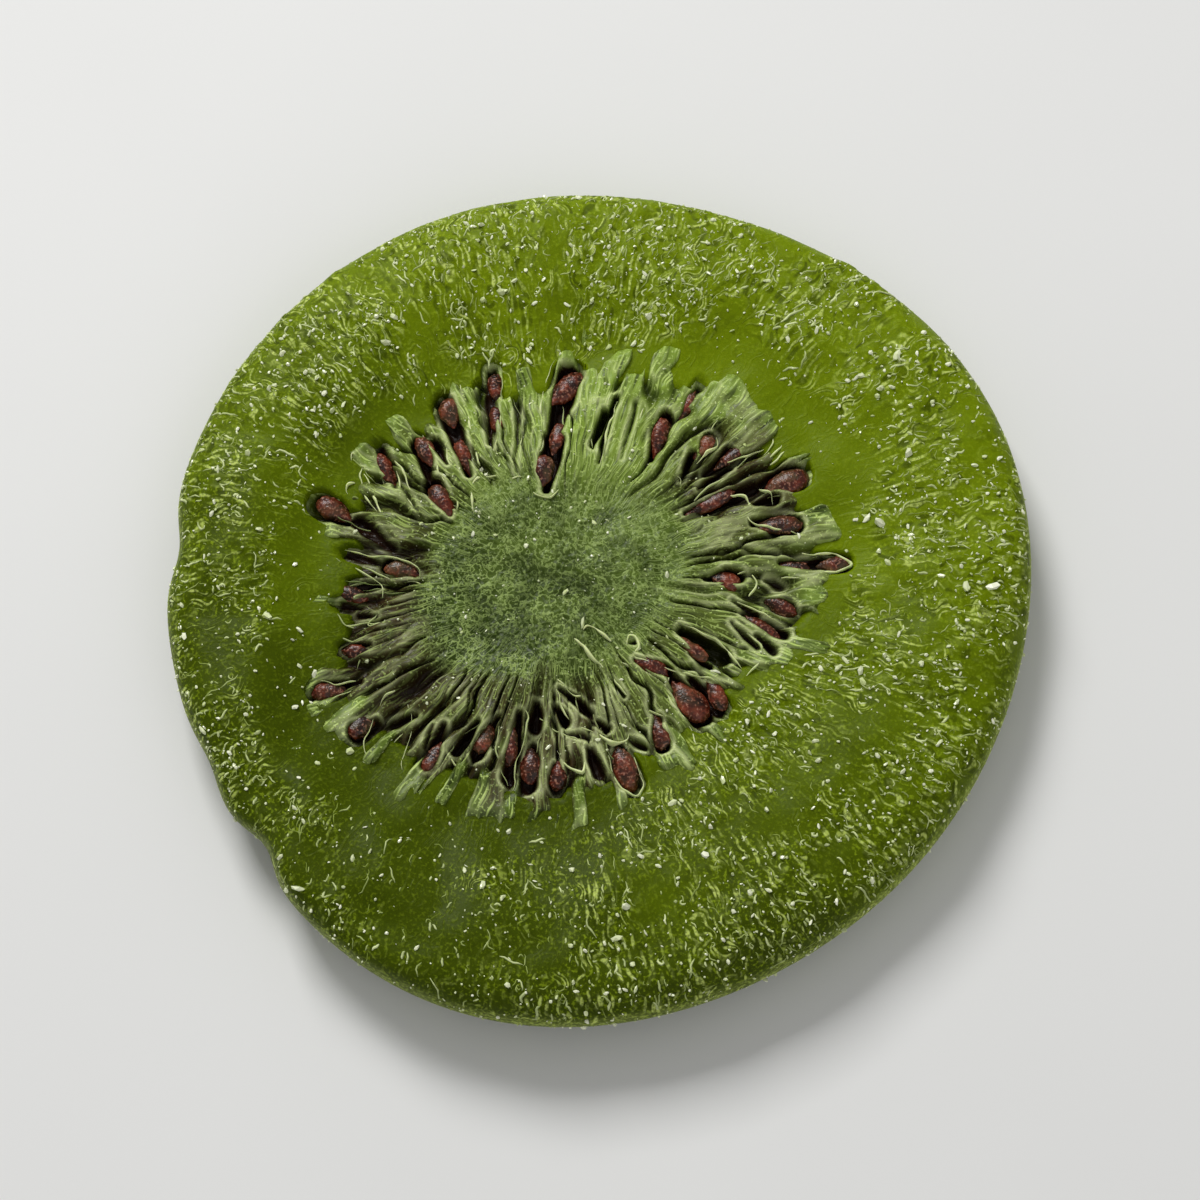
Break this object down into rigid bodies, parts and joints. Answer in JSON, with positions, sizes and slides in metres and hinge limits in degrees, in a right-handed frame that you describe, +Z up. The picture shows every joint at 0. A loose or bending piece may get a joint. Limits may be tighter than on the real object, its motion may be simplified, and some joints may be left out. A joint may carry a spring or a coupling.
{
  "type": "dried kiwi slice",
  "caption": "Sugared dried kiwi slice: a rounded translucent green disc with a pale pithy core in a ring of seed pockets.",
  "frame": {"origin": "on the surface the slice rests on, under the middle of its outline", "axes": "+Z up, out of the better cut face; +X and +Y in the plane of the slice, +Y towards the top of its picture"},
  "size_m": [0.0444, 0.0446, 0.0049],
  "materials": {
    "dried_flesh": "translucent olive-green dried flesh, softly glossy under a frost of fine sugar grains"
  },
  "bodies": {
    "root": {"kiwi_slice": "dried_flesh"}
  },
  "joints": []
}
